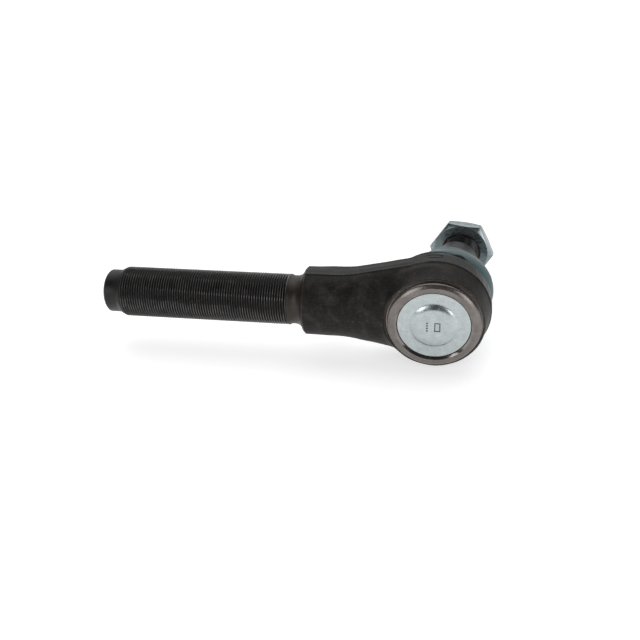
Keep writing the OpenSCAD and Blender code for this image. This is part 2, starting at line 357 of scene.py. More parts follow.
# ---- materials ----
class Finish:
    """A procedural material: tones mixed by patches and grain, uneven gloss and fine relief."""

    def __init__(self, name, metallic=0.0, specular=0.5):
        self.material = bpy.data.materials.new(name)
        self.material.use_nodes = True
        self.nodes = self.material.node_tree.nodes
        self.links = self.material.node_tree.links
        self.shader = self.nodes["Principled BSDF"]
        self.shader.inputs["Metallic"].default_value = metallic
        self.shader.inputs["Specular IOR Level"].default_value = specular
        self.place = self.nodes.new("ShaderNodeTexCoord").outputs["Object"]
        self.normal = None

    def noise(self, size, detail=4.0, rough=0.55, stretch=(1, 1, 1)):
        """Noise whose features are about size millimetres across."""
        mapping = self.nodes.new("ShaderNodeMapping")
        mapping.inputs["Scale"].default_value = stretch
        self.links.new(self.place, mapping.inputs["Vector"])
        node = self.nodes.new("ShaderNodeTexNoise")
        node.inputs["Scale"].default_value = 1000 / size
        node.inputs["Detail"].default_value = detail
        node.inputs["Roughness"].default_value = rough
        self.links.new(mapping.outputs["Vector"], node.inputs["Vector"])
        return node.outputs["Fac"]

    def rings(self, spacing, kind="RINGS", axis="Y", wobble=0.4):
        """Turning marks: rings round an axis, or bands across it."""
        node = self.nodes.new("ShaderNodeTexWave")
        node.wave_type = kind
        setattr(node, "rings_direction" if kind == "RINGS" else "bands_direction", axis)
        node.inputs["Scale"].default_value = 1000 / spacing / 20 * math.pi * 2
        node.inputs["Distortion"].default_value = wobble
        node.inputs["Detail"].default_value = 2
        self.links.new(self.place, node.inputs["Vector"])
        return node.outputs["Fac"]

    def ramp(self, value, stops):
        node = self.nodes.new("ShaderNodeValToRGB")
        elements = node.color_ramp.elements
        while len(elements) < len(stops):
            elements.new(0.5)
        for element, (place, colour) in zip(elements, stops):
            element.position = place
            element.color = (*colour, 1)
        self.links.new(value, node.inputs["Fac"])
        return node.outputs["Color"]

    def scale(self, value, low, high, source=(0.3, 0.7)):
        node = self.nodes.new("ShaderNodeMapRange")
        for name, number in zip(("From Min", "From Max", "To Min", "To Max"), (*source, low, high)):
            node.inputs[name].default_value = number
        self.links.new(value, node.inputs["Value"])
        return node.outputs["Result"]

    def mix(self, factor, a, b, blend="MIX"):
        """Mixes two colours; each is a socket or a tuple, and so may the factor be."""
        node = self.nodes.new("ShaderNodeMix")
        node.data_type = "RGBA"
        node.blend_type = blend
        for socket, value in ((node.inputs[0], factor), (node.inputs[6], a), (node.inputs[7], b)):
            if isinstance(value, bpy.types.NodeSocket):
                self.links.new(value, socket)
            elif isinstance(value, tuple):
                socket.default_value = (*value, 1)
            else:
                socket.default_value = value
        return node.outputs[2]

    def edges(self, low=0.52, high=0.6):
        """1 on edges that stick out, 0 elsewhere."""
        geometry = self.nodes.new("ShaderNodeNewGeometry")
        return self.scale(geometry.outputs["Pointiness"], 0, 1, (low, high))

    def bump(self, height, depth, strength=1.0):
        """Adds relief of about depth millimetres."""
        node = self.nodes.new("ShaderNodeBump")
        node.inputs["Strength"].default_value = strength
        node.inputs["Distance"].default_value = depth / 1000
        self.links.new(height, node.inputs["Height"])
        if self.normal:
            self.links.new(self.normal, node.inputs["Normal"])
        self.normal = node.outputs["Normal"]

    def done(self, colour, roughness):
        self.links.new(colour, self.shader.inputs["Base Color"])
        self.links.new(roughness, self.shader.inputs["Roughness"])
        if self.normal:
            self.links.new(self.normal, self.shader.inputs["Normal"])
        return self.material


def forged_skin():
    """Phosphated forging: brown-black, blotchy, with a fine scale grain and rubbed edges."""
    f = Finish("forged_skin", specular=0.14)
    patches = f.noise(9, 6, 0.62)
    specks = f.noise(1.1, 3, 0.6)
    tone = f.ramp(patches, [(0.3, (0.006, 0.0055, 0.0055)), (0.5, (0.014, 0.0125, 0.0115)),
                            (0.7, (0.040, 0.034, 0.030))])
    tone = f.mix(f.scale(specks, 0, 0.55, (0.55, 0.72)), tone, (0.062, 0.052, 0.045))
    tone = f.mix(f.scale(f.noise(0.7, 2), 0, 0.6, (0.62, 0.72)), tone, (0.004, 0.004, 0.004))
    tone = f.mix(f.edges(0.54, 0.64), tone, (0.05, 0.044, 0.040))
    f.bump(f.noise(4.5, 5, 0.6), 0.22, 0.8)
    f.bump(specks, 0.07, 0.8)
    return f.done(tone, f.scale(patches, 0.44, 0.62))


def trimmed_band():
    """Where the flash was sheared off: smoother, greyer, with marks drawn across the band."""
    f = Finish("trimmed_band", specular=0.18)
    streaks = f.noise(1.4, 4, 0.6, (1, 0.18, 1))
    tone = f.ramp(streaks, [(0.3, (0.008, 0.0077, 0.0077)), (0.7, (0.022, 0.0205, 0.02))])
    tone = f.mix(f.scale(f.noise(6, 4), 0, 0.5), tone, (0.014, 0.0125, 0.012))
    tone = f.mix(f.edges(0.54, 0.64), tone, (0.075, 0.07, 0.067))
    f.bump(streaks, 0.06, 0.7)
    f.bump(f.noise(5, 3), 0.15, 0.6)
    return f.done(tone, f.scale(streaks, 0.36, 0.52))


def shank_thread():
    """Cut and phosphated thread: near black in the grooves, grey on the crests, partly rubbed and partly painted
    highlight.
    """
    f = Finish("shank_thread", specular=0.25)
    patches = f.noise(7, 4)
    tone = f.ramp(patches, [(0.3, (0.006, 0.0058, 0.0058)), (0.7, (0.014, 0.013, 0.0125))])
    # Crests lighter: partly wear, partly painted highlight.
    tone = f.mix(f.edges(0.5, 0.62), tone, (0.05, 0.047, 0.046))
    f.bump(f.noise(0.8, 3), 0.008, 0.6)
    return f.done(tone, f.scale(patches, 0.34, 0.5))


def thread_crest():
    """Flat crests of the shank's thread: rubbed grey, and lighter still as a painted highlight."""
    f = Finish("thread_crest", metallic=0.5, specular=0.5)
    patches = f.noise(4, 4)
    tone = f.ramp(patches, [(0.3, (0.06, 0.058, 0.058)), (0.7, (0.17, 0.163, 0.158))])
    f.bump(f.noise(0.8, 3), 0.003, 0.5)
    return f.done(tone, f.scale(patches, 0.2, 0.34))


def turned_neck():
    """Plain turned neck and shoulder: brown-grey satin with fine tool marks."""
    f = Finish("turned_neck", metallic=0.5)
    patches = f.noise(6, 5, 0.6)
    tone = f.ramp(patches, [(0.3, (0.014, 0.011, 0.009)), (0.7, (0.047, 0.037, 0.030))])
    tone = f.mix(f.edges(0.53, 0.62), tone, (0.14, 0.125, 0.115))
    f.bump(f.rings(0.35, "BANDS", "X"), 0.012, 0.5)
    f.bump(f.noise(0.8, 3), 0.03, 0.5)
    return f.done(tone, f.scale(patches, 0.36, 0.52))


def rolled_lip():
    """Turned and rolled lip: dull brownish silver with rings left by the rolling tool."""
    f = Finish("rolled_lip", metallic=0.85)
    marks = f.rings(0.45, wobble=1.2)
    patches = f.noise(5, 5, 0.6)
    tone = f.ramp(patches, [(0.3, (0.14, 0.127, 0.118)), (0.7, (0.22, 0.203, 0.19))])
    tone = f.mix(f.scale(marks, 0, 0.25, (0, 1)), tone, (0.08, 0.07, 0.064))
    f.bump(marks, 0.003, 0.5)
    f.bump(f.noise(1.2, 3), 0.003, 0.5)
    return f.done(tone, f.scale(patches, 0.24, 0.36))


def lip_edge():
    """The lip's inner slope, burnished by the rolling tool."""
    f = Finish("lip_edge", metallic=0.95)
    patches = f.noise(4, 4)
    tone = f.ramp(patches, [(0.3, (0.15, 0.135, 0.125)), (0.7, (0.24, 0.22, 0.205))])
    f.bump(f.noise(1.0, 3), 0.002, 0.5)
    return f.done(tone, f.scale(patches, 0.1, 0.18))


def zinc(name, tones, size=3.5, rough=(0.3, 0.42), metallic=0.9):
    """Zinc plate: pale, a little cloudy, with fine scratches and tarnish specks."""
    f = Finish(name, metallic=metallic)
    clouds = f.noise(size, 3, 0.5)
    tone = f.ramp(clouds, [(0.28, tones[0]), (0.72, tones[1])])
    scratches = f.noise(1.4, 2, 0.5, (0.12, 1, 1))
    tone = f.mix(f.scale(scratches, 0, 0.3, (0.6, 0.75)), tone, tones[2])
    tone = f.mix(f.scale(f.noise(2.4, 2), 0, 0.35, (0.72, 0.8)), tone, (0.16, 0.15, 0.13))
    f.bump(clouds, 0.004, 0.4)
    return f.done(tone, f.scale(clouds, *rough))


def stud_steel():
    """Dark, greasy stud with brown in the thread, bright rubbed crests and light speckles painted as highlights on
    the grease.
    """
    f = Finish("stud_steel", metallic=0.2, specular=0.25)
    patches = f.noise(3, 6, 0.65)
    tone = f.ramp(patches, [(0.3, (0.004, 0.004, 0.0045)), (0.52, (0.009, 0.0085, 0.0085)),
                            (0.7, (0.03, 0.028, 0.027))])
    # Light grey speckles: painted highlights on the grease film.
    tone = f.mix(f.scale(f.noise(1.4, 4, 0.7), 0, 0.35, (0.6, 0.7)), tone, (0.09, 0.088, 0.085))
    tone = f.mix(f.edges(0.52, 0.64), tone, (0.06, 0.058, 0.057))
    f.bump(patches, 0.02, 0.7)
    return f.done(tone, f.scale(patches, 0.22, 0.44))


def boot_rubber():
    """Blue-green moulded rubber: satin, lightly dusted, with a fine mould grain."""
    f = Finish("boot_rubber", specular=0.3)
    patches = f.noise(8, 5, 0.6)
    tone = f.ramp(patches, [(0.3, (0.026, 0.066, 0.072)), (0.7, (0.042, 0.092, 0.098))])
    tone = f.mix(f.scale(f.noise(1.3, 3), 0, 0.35, (0.6, 0.75)), tone, (0.09, 0.14, 0.145))
    tone = f.mix(f.edges(0.52, 0.62), tone, (0.085, 0.15, 0.155))
    f.bump(f.noise(0.35, 3, 0.6), 0.02, 0.6)
    f.bump(patches, 0.08, 0.5)
    return f.done(tone, f.scale(patches, 0.38, 0.52))


def wire():
    """Drawn spring wire: dark grey satin with marks along it; near black, partly a dark greasy wire and partly
    painted shade.
    """
    f = Finish("ring_wire", metallic=0.85)
    marks = f.noise(0.8, 4, 0.6, (0.2, 1, 0.2))
    # Near-black tones: partly the wire's own greasy darkness, partly painted shade where the clamp sits in the
    # bead's grooves under the boot.
    tone = f.ramp(marks, [(0.3, (0.02, 0.02, 0.021)), (0.7, (0.06, 0.06, 0.062))])
    tone = f.mix(f.scale(f.noise(2.5, 3), 0, 0.5, (0.58, 0.7)), tone, (0.014, 0.012, 0.011))
    f.bump(marks, 0.004, 0.6)
    return f.done(tone, f.scale(marks, 0.28, 0.42))


def plain_inner(name, tones, rough, metallic=0.0, size=2.0):
    """For the pieces inside: two tones, a grain and uneven gloss."""
    f = Finish(name, metallic=metallic)
    grain = f.noise(size, 4, 0.6)
    tone = f.ramp(grain, [(0.3, tones[0]), (0.7, tones[1])])
    tone = f.mix(f.edges(), tone, tones[2])
    f.bump(f.noise(0.5, 3), 0.015, 0.6)
    return f.done(tone, f.scale(grain, *rough))


# ---- housing ----
def smooth(t):
    t = np.clip(t, 0, 1)
    return t * t * (3 - 2 * t)


def soft_min(a, b, k):
    h = np.clip(0.5 + 0.5 * (b - a) / k, 0, 1)
    return b * (1 - h) + a * h - k * h * (1 - h)


def soft_max(a, b, k):
    return -soft_min(-a, -b, k)


def arm_half_width(d):
    """Half of the arm's width at distance d from the ball, as seen along the head's axis."""
    d = np.maximum(d, HEAD_R * math.sin(FLARE))
    bend = np.clip((BEND_START - d) / BEND_R, 0, math.sin(FLARE))
    curved = ARM_R + BEND_R * (1 - np.sqrt(1 - bend ** 2))
    straight = np.maximum(BEND_START - BEND_R * math.sin(FLARE) - d, 0) * math.tan(FLARE)
    return curved + straight


def arm_field(x, y, z):
    """Below 0 inside the arm: round at the shoulder, flat topped and wide at the head."""
    d = -x
    w = arm_half_width(np.clip(d, 0, SHOULDER))
    lift = smooth((70 - d) / 30) * 4
    top = RIM_Z - 0.3 + (ARM_R - RIM_Z + 0.3) * smooth((d - 36) / 26)
    low = ARM_R - (ARM_R + FOOT_Z) * smooth((60 - d) / 30)
    up = np.maximum(z - lift, 0) / (top - lift)
    down = np.maximum(-z, 0) / low
    n = 2 + 0.4 * smooth((70 - d) / 30)
    side = np.abs(y) / w
    radius = np.where(z < 0, np.sqrt(side ** 2 + down ** 2), (side ** n + up ** n) ** (1 / n))
    body = (radius - 1) * np.minimum(w, np.where(z < 0, low, np.maximum(top, 6)))
    step = w * np.sqrt(1 - (BAND_LOW / low) ** 2) + 0.5
    band = np.maximum(np.abs(y) - step, np.maximum(BAND_LOW - z, z - np.maximum(lift, 2)))
    return np.maximum(np.minimum(body, band), np.maximum(d - SHOULDER, -d))


def head_field(x, y, z):
    """Below 0 inside the head: a drafted foot, the parting band and the rim under the boot."""
    out = np.hypot(x, y)
    foot = HEAD_R - 0.45 - (BAND_LOW - z) * (HEAD_R - 0.45 - FOOT_R) / (BAND_LOW - FOOT_Z)
    chamfer = HEAD_R - np.maximum(z - BAND_HIGH, 0) * RIM_DRAFT / (RIM_Z - BAND_HIGH)
    side = out - np.where(z < BAND_LOW, foot, chamfer)
    return np.maximum(soft_max(side, FOOT_Z - z, 0.6), z - RIM_Z)


def unevenness(x, y, z):
    """The slow waviness of a forged skin, in millimetres."""
    return 0.05 * (np.sin(x / 3.1 + 1.3 * np.sin(z / 4.3)) * np.sin(y / 2.7 + 0.7)
                   + np.sin(z / 2.3 + x / 5.9) * np.sin(y / 4.1 + x / 7.3))


def forging_field(p):
    x, y, z = p
    arm, head = arm_field(x, y, z), head_field(x, y, z)
    softness = 1.2 + 3.8 * smooth((BAND_LOW - z) / 5)
    plan = np.minimum(np.maximum(np.abs(y) - arm_half_width(-x), x), np.hypot(x, y) - HEAD_R)
    return np.maximum(soft_min(arm, head, softness), plan) + unevenness(x, y, z) + 0.06


def forging():
    """The forged skin of arm and head, meshed from its field and pulled onto it."""
    voxel = 0.5
    low = np.array([-SHOULDER - 2, -HEAD_R - 2, -ARM_R - 2])
    high = np.array([HEAD_R + 2, HEAD_R + 2, ARM_R + 2])
    axes = [np.arange(a, b, voxel) for a, b in zip(low, high)]
    field = forging_field(np.meshgrid(*axes, indexing="ij"))
    grid = openvdb.FloatGrid(4.0)
    grid.copyFromArray(np.clip(field, -4, 4).astype(np.float32))
    points, quads = grid.convertToQuads(0.0)
    points = points.astype(float) * voxel + low
    for _ in range(4):
        value = forging_field(points.T)
        slope = np.stack([(forging_field((points + e).T) - forging_field((points - e).T)) / 0.1
                          for e in np.eye(3) * 0.05], 1)
        size = np.maximum((slope ** 2).sum(1), 0.25)
        step = np.clip(value / size, -0.25, 0.25)[:, None] * slope
        points -= step
    return outward(make("housing_forging", points, quads.tolist()))


def threaded(crest, start, end, runout=1.5):
    """A shape function that cuts a right-handed metric thread between two heights."""
    def shape(r, z, angle):
        turn = (z / PITCH - angle / (2 * math.pi)) % 1
        away = np.abs(turn - 0.5) * 2
        groove = np.clip((0.86 - away) / 0.62, 0, 1) * THREAD_DEPTH
        fade = np.clip((z - start) / runout, 0, 1) * np.clip((end - z) / runout, 0, 1)
        return np.minimum(r, np.where((z > start) & (z < end), crest - groove * fade, r))
    return shape


def thread_rings(r, start, end, per_turn=6):
    count = int(round((end - start) / PITCH * per_turn))
    return [(r, start + (end - start) * i / count) for i in range(1, count)]


def shank():
    """Pilot tip with its centre hole, thread, neck, fillet and the turned shoulder."""
    fillet = 6.0
    path = list(rounded([
        (0, SHOULDER - 12), (ARM_R - 3, SHOULDER - 12), (ARM_R - 3, SHOULDER - 0.4),
        (ARM_R - 0.35, SHOULDER - 0.4, 0.2), (ARM_R - 0.35, SHOULDER, 0.25),
        (ARM_R - 1.5, SHOULDER + 1, 0.4)]))
    centre = (NECK_R + fillet, SHOULDER + 1 + fillet * 0.97)
    path += [(centre[0] - fillet * math.cos(a), centre[1] - fillet * math.sin(a))
             for a in np.radians(np.linspace(76, 0, 12))]
    path += [(NECK_R, THREAD_START - 1.2), (SHANK_R - 0.1, THREAD_START)]
    path += thread_rings(SHANK_R, THREAD_START, THREAD_END + 4)
    chamfered = [(SHANK_R - (z - THREAD_END) * (SHANK_R - PILOT_R) / 4.2, z)
                 if z > THREAD_END else (r, z) for r, z in path]
    tip = rounded([(PILOT_R, THREAD_END + 4.2), (PILOT_R, TIP - 1.2, 0.6),
                   (PILOT_R - 1.2, TIP, 0.5), (3.2, TIP, 0.2), (1.6, TIP - 2.6), (1.6, TIP - 5),
                   (0, TIP - 6)])
    shape = threaded(SHANK_R, THREAD_START + 0.2, THREAD_END + 4.0, 1.5)
    return solid("shank_turned", chamfered + list(tip), 96, shape, along_shank)


def housing():
    body = forging()
    core = solid("core", rounded([
        (0, -10), (20, -10), (20, RIM_Z - 1), (25, RIM_Z - 1), (25, RIM_Z, 0.1),
        (25, TOP_Z - 1.4, 0.4), (26.2, TOP_Z - 1.4, 0.3), (26.2, TOP_Z, 0.4), (0, TOP_Z)]), 128)
    lip = solid("lip", rounded([
        (CAP_R + 0.1, FOOT_Z + 3), (LIP_R, FOOT_Z + 3), (LIP_R, CAP_Z + 0.3, 1.6),
        (LIP_R - 2.2, LIP_CROWN + 0.1, 1.4), (LIP_INNER_R + 1.7, LIP_CROWN, 0.35),
        (LIP_INNER_R + CREVICE, CAP_Z - 0.3), (LIP_INNER_R, CAP_Z - 0.12),
        (LIP_INNER_R, CAP_Z - 0.05),
        (CAP_R + 0.1, CAP_Z - 0.05)]), 160)
    relief = solid("relief", rounded([
        (LIP_R - 0.02, FOOT_Z + 0.55, 0.2), (26.75, FOOT_Z + 0.55, 0.2), (26.75, FOOT_Z, 0.1),
        (FOOT_R + 0.25, FOOT_Z, 0.2), (FOOT_R + 0.55, -25), (LIP_R - 0.02, -25)]), 128)
    cavity = solid("cavity", [
        (0, -25), (CAP_R + 0.1, -25), (CAP_R + 0.1, CAP_Z + CAP_T + 0.1),
        (CAP_R - 0.6, CAP_Z + CAP_T + 0.1), (CAP_R - 0.6, -17.5), (SEAT_BORE_R, -17.5),
        (SEAT_BORE_R, 9.95), (15.2, 9.95), (18.2, TOP_Z), (18.2, TOP_Z + 3), (0, TOP_Z + 3)], 128)
    stamp = block("stamp", (8.6, 1.4, 3.6), (-1.6, -HEAD_R, 1.2))
    stamp_floor = block("stamp_floor", (7.4, 3, 2.4), (-1.6, -HEAD_R + 1.2, 1.2))
    combine(stamp, [stamp_floor], "DIFFERENCE")
    combine(body, [core, shank()], "UNION")
    combine(body, [relief, cavity, stamp], "DIFFERENCE")
    combine(body, [lip], "UNION")
    body.name = "housing_body_forged"
    return body


def housing_kinds(body):
    """Which of the housing's finishes each face has, from where it lies; the lip's crevice gets the near-black
    forged skin as painted shade.
    """
    x, y, z = face_centres(body).T
    out = np.hypot(x, y)
    around_shank = np.hypot(y, z)
    kind = np.zeros(len(x), int)
    kind[x < -THREAD_START + 0.5] = 1
    # Thread crests get the lighter crest finish: wear plus a painted highlight.
    kind[(x < -THREAD_START - 0.7) & (around_shank > SHANK_R - 0.16)] = 5
    kind[(x >= -THREAD_START + 0.5) & (x < -SHOULDER + 0.35) & (around_shank < ARM_R + 0.5)] = 2
    kind[(x > -40) & (out < FOOT_R + 0.4) & (z < FOOT_Z + 0.7)] = 2
    kind[(out < LIP_R + 0.3) & (z < FOOT_Z + 0.7)] = 3
    kind[(out < LIP_INNER_R + 1.6) & (z < CAP_Z)] = 6
    # The lip's innermost edge at the crevice takes the near-black forged skin: painted shade in the gap beside the
    # cap.
    kind[(out < LIP_INNER_R + CREVICE) & (z < CAP_Z)] = 0
    on_head = (x > -12) & (out > HEAD_R - 1.7)
    on_arm = (x > -SHOULDER) & (np.abs(y) > arm_half_width(np.clip(-x, 0, SHOULDER)) * 0.93)
    on_band = (z > BAND_LOW + 0.05) & ((on_arm & (z < 3.2)) | (on_head & (z < BAND_HIGH + 0.1)))
    kind[on_band & (kind == 0)] = 4
    return kind


# ---- end cap ----
def boss_profile(reach, crown, count=14):
    """The raised middle's flank as (r, z), from its flat top out to its foot."""
    u = np.linspace(0, 1, count)
    return [(BOSS_TOP_R + reach * k, crown + BOSS_H * k ** 2) for k in u]


def end_cap():
    """Pressed disc with a raised middle, which carries a generic batch mark."""
    inner = CAP_Z + CAP_T
    crown = CAP_Z - BOSS_H
    flank = boss_profile(BOSS_R - BOSS_TOP_R, crown)
    inside = boss_profile(BOSS_R - BOSS_TOP_R - 0.8, crown + CAP_T)
    rim = rounded([(BOSS_R + 2, CAP_Z), (CAP_R, CAP_Z, 0.4), (CAP_R, inner, 0.3), (BOSS_R, inner)])
    cap = solid("cap_disc", [(0, crown), *flank, *rim, *inside[::-1], (0, crown + CAP_T)], 160)
    marks = [solid("dot", [(0, -1), (0.55, -1), (0.55, MARK_DEPTH), (0, MARK_DEPTH)], 20,
                   place=lambda p, at=at: p + [-3.6, at, crown]) for at in (-2.4, -0.8, 0.8, 2.4)]
    frame_out = block("mark", (3.4, 5.6, 2 * MARK_DEPTH), (2.0, 0, crown))
    frame_in = block("mark", (2.0, 4.2, 3), (2.0, 0, crown))
    combine(frame_out, [frame_in], "DIFFERENCE")
    return combine(cap, [*marks, frame_out], "DIFFERENCE")


def cap_kinds(cap):
    """0 for the plate, 1 inside the stamped mark, whose darker zinc is painted shade in the recesses."""
    x, y, z = face_centres(cap).T
    deep = (z > CAP_Z - BOSS_H + 0.1) & (z < CAP_Z - BOSS_H + MARK_DEPTH + 0.05)
    return ((np.hypot(x, y) < BOSS_TOP_R - 0.8) & deep).astype(int)


# ---- dust boot and its rings ----
def boot_line(z):
    """Centre line of the boot at height z: sideways offset, height and lean."""
    t = np.clip((z - BOOT_FIX_Z) / (BOOT_TOP_Z - BOOT_FIX_Z), 0, 1)
    s = smooth(t)
    out = z * math.sin(LEAN) * s + BOOT_BULGE * np.sin(math.pi * t)
    return out, z * (1 - s) + z * math.cos(LEAN) * s, LEAN * s


def bent(p):
    """Bends points about the head's axis onto the boot's centre line."""
    p = turn_z(p, -LEAN_DIR)
    out, up, a = boot_line(p[:, 2])
    bent_points = np.stack([out + p[:, 0] * np.cos(a), p[:, 1], up - p[:, 0] * np.sin(a)], 1)
    return turn_z(bent_points, LEAN_DIR)


def curve_through(points, steps=6):
    """A smooth path through points (Catmull-Rom)."""
    p = np.array(points, float)
    p = np.vstack([2 * p[0] - p[1], p, 2 * p[-1] - p[-2]])
    path = []
    for i in range(1, len(p) - 2):
        for t in np.arange(steps) / steps:
            path.append(0.5 * (2 * p[i] + (p[i + 1] - p[i - 1]) * t
                               + (2 * p[i - 1] - 5 * p[i] + 4 * p[i + 1] - p[i + 2]) * t ** 2
                               + (3 * p[i] - p[i - 1] - 3 * p[i + 1] + p[i + 2]) * t ** 3))
    path.append(p[-2])
    return np.array(path)


def dust_boot():
    bulge = [(27.95, 14.8), (27.9, 17), (27.1, 22), (25.4, 28), (23.4, 34), (21.7, 38)]
    outside = np.vstack([
        rounded([(25.25, RIM_Z + 0.3), (FOOT_LIP_R, RIM_Z + 0.3, 0.4),
                 (FOOT_LIP_R, CLAMP_Z - 0.4, 0.3), (BEAD_R, CLAMP_Z, 0.1), (BEAD_R, RIB_Z, 0.08),
                 (RIB_R, RIB_Z + 0.1, 0.2), (RIB_R, RIB_END_Z - 0.1, 0.2), (BEAD_R, RIB_END_Z, 0.08),
                 (BEAD_R, BEAD_END_Z, 0.1), (27.9, BEAD_END_Z + 0.5, 0.3), (27.95, 14.8)])[:-1],
        curve_through(bulge, 5)[:-1],
        rounded([(21.7, 38), (BOOT_NECK_OUT_R, 40.2, 1.2), (BOOT_NECK_R + 0.3, 40.9, 0.6),
                 (BOOT_NECK_R, 41.2, 0.2), (BOOT_NECK_R, BOOT_END_Z - 0.6, 0.2),
                 (BOOT_NECK_R + 0.5, BOOT_END_Z - 0.3, 0.2), (BOOT_NECK_R - 0.3, BOOT_END_Z, 0.2),
                 (COLLAR_R + 0.1, BOOT_END_Z)])])
    inside = np.vstack([
        rounded([(COLLAR_R + 0.1, BOOT_END_Z), (COLLAR_R + 0.1, 40.3, 0.4), (18.2, 39.2, 0.8),
                 (19.6, 37)])[1:],
        curve_through([(19.6, 37), (21.4, 33), (23.4, 27), (25.1, 21), (25.9, 16),
                       (26.5, BOOT_FIX_Z)], 4)[1:],
        rounded([(26.5, BOOT_FIX_Z), (26.5, 10.75, 0.2), (25.25, 10.75, 0.2),
                 (25.25, RIM_Z + 0.3)])[1:-1]])
    path = np.vstack([outside, inside])

    def seam(r, z, angle):
        """Two faint mould lines, on opposite sides."""
        mould = np.exp(-((np.sin(angle + 0.4)) / 0.018) ** 2)
        return r + 0.16 * mould * ((r > 19) & (z > 13) & (z < 39))

    return outward(make("dust_boot_rubber", *revolve(path, 128, seam), bent))


def wire_tube(name, centre, place, sides=12):
    """A round wire along a path of points about the z axis, with rounded ends."""
    along = np.gradient(centre, axis=0)
    along /= np.linalg.norm(along, axis=1)[:, None]
    out = centre * [1, 1, 0] / np.linalg.norm(centre[:, :2], axis=1)[:, None]
    up = np.cross(along, out)
    ends = [(-0.42, 0.3), (-0.3, 0.75)]
    rings = [(centre[0] + along[0] * shift, out[0], up[0], size) for shift, size in ends]
    rings += [(centre[i], out[i], up[i], 1.0) for i in range(len(centre))]
    rings += [(centre[-1] - along[-1] * shift, out[-1], up[-1], size) for shift, size in ends[::-1]]
    points = [middle + WIRE_R * size * (math.cos(a) * outwards + math.sin(a) * upwards)
              for middle, outwards, upwards, size in rings
              for a in np.arange(sides) * 2 * math.pi / sides]
    faces = [(k * sides + i, k * sides + (i + 1) % sides, (k + 1) * sides + (i + 1) % sides,
              (k + 1) * sides + i) for k in range(len(rings) - 1) for i in range(sides)]
    faces.append(tuple(range(sides)))
    faces.append(tuple(reversed(range(len(points) - sides, len(points)))))
    return outward(make(name, points, faces, place))


def clamp_ring():
    """Two turns of wire in the bead's grooves; the wire crosses over the rib between them."""
    angle = np.linspace(-1, 1, 400) * math.radians(345)
    cross = smooth(angle / math.radians(16) + 0.5)
    lift = np.exp(-(angle / math.radians(9)) ** 2)
    radius = BEAD_R + WIRE_R + RING_PLAY + (RIB_R - BEAD_R) * lift
    height = TURN_Z[0] + (TURN_Z[1] - TURN_Z[0]) * cross
    angle = angle + CROSSING
    path = np.stack([radius * np.cos(angle), radius * np.sin(angle), height], 1)
    return wire_tube("boot_clamp_wire", path, upright)


def collar_ring():
    """One turn of wire round the boot's neck, with a small gap."""
    angle = np.radians(np.linspace(4, 356, 160))
    radius = BOOT_NECK_R + WIRE_R + 0.1
    path = np.stack([radius * np.cos(angle), radius * np.sin(angle), 0 * angle + BOOT_END_Z - 1.4], 1)
    return wire_tube("boot_collar_wire", path, leaning)


# ---- ball stud and nut ----
def ball_stud():
    """Ball, neck, collar, taper and threaded end."""
    flat_r = math.sqrt(BALL_R ** 2 - BALL_FLAT ** 2)
    neck_r = 9.6
    ball = [(BALL_R * math.sin(a), -BALL_R * math.cos(a)) for a in np.linspace(
        math.acos(-BALL_FLAT / BALL_R), math.pi - math.asin(neck_r / BALL_R), 40)]
    path = [(0, BALL_FLAT), (flat_r - 0.3, BALL_FLAT)] + ball
    path += [tuple(p) for p in rounded([
        (neck_r, 16), (neck_r, 25, 9), (COLLAR_R, 36.5, 3), (COLLAR_R, TAPER_Z - 0.4, 0.2),
        (TAPER_R, TAPER_Z, 0.2), (TAPER_END_R, TAPER_END_Z, 0.5),
        (STUD_R, TAPER_END_Z + 1.6)])[1:]]
    path += thread_rings(STUD_R, TAPER_END_Z + 1.6, STUD_END - 1.4)
    path += [tuple(p) for p in rounded([
        (STUD_R, STUD_END - 1.4), (STUD_R - 1.4, STUD_END, 0.3), (2.6, STUD_END, 0.2),
        (1.3, STUD_END - 2.2), (0, STUD_END - 3.5)])]
    return solid("stud_turned", path, 96,
                 threaded(STUD_R, TAPER_END_Z + 1.8, STUD_END + 2, 1.5), leaning)


def lock_nut():
    """Self-locking nut: chamfered hexagon, round collar, countersunk and threaded bore."""
    def on_stud(p):
        return leaning(turn_z(p, NUT_TURN) + [0, 0, NUT_Z])
    corner = NUT_AF / 2 / math.cos(math.pi / 6)
    nut = solid("nut", [(0, 0), (corner, 0), (corner, HEX_H), (0, HEX_H)], 6, place=on_stud)
    drop = math.tan(math.radians(30))
    face_r = NUT_AF / 2 - 0.5
    reach = corner + 1
    cones = solid("cones", [
        (0, 0), (face_r, 0), (reach, (reach - face_r) * drop),
        (reach, HEX_H - (reach - face_r) * drop), (face_r, HEX_H), (0, HEX_H)], 128, place=on_stud)
    combine(nut, [cones], "INTERSECT")
    collar = solid("collar", rounded([
        (0, HEX_H - 2), (NUT_COLLAR_R - 0.3, HEX_H - 2), (NUT_COLLAR_R, HEX_H + 0.5, 0.3),
        (NUT_COLLAR_R, NUT_H, 1.2), (0, NUT_H)]), 128, place=on_stud)
    combine(nut, [collar], "UNION")
    pilot = solid("pilot", [(0, -3), (STUD_R - 1, -3), (STUD_R - 1, 30), (0, 30)], 96, place=on_stud)
    bevel(nut, 0.28)
    combine(nut, [pilot], "DIFFERENCE")
    bore_r = STUD_R + 0.06
    path = [(0, -3), (bore_r + 3.6, -3), (bore_r + 0.6, 0.0), (bore_r, 0.6)]
    path += thread_rings(bore_r, 0.6, NUT_H - 0.6, 6)
    path += [(bore_r, NUT_H - 0.6), (bore_r + 0.6, NUT_H), (bore_r + 3.6, NUT_H + 3), (0, NUT_H + 3)]

    def grooved(r, z, angle):
        turn = (z / PITCH - angle / (2 * math.pi)) % 1
        groove = np.clip((0.8 - np.abs(turn - 0.5) * 2) / 0.6, 0, 1) * 0.7
        return r + groove * ((z > 0.5) & (z < NUT_H - 0.5))
    return combine(nut, [solid("bore", path, 96, grooved, on_stud)], "DIFFERENCE")


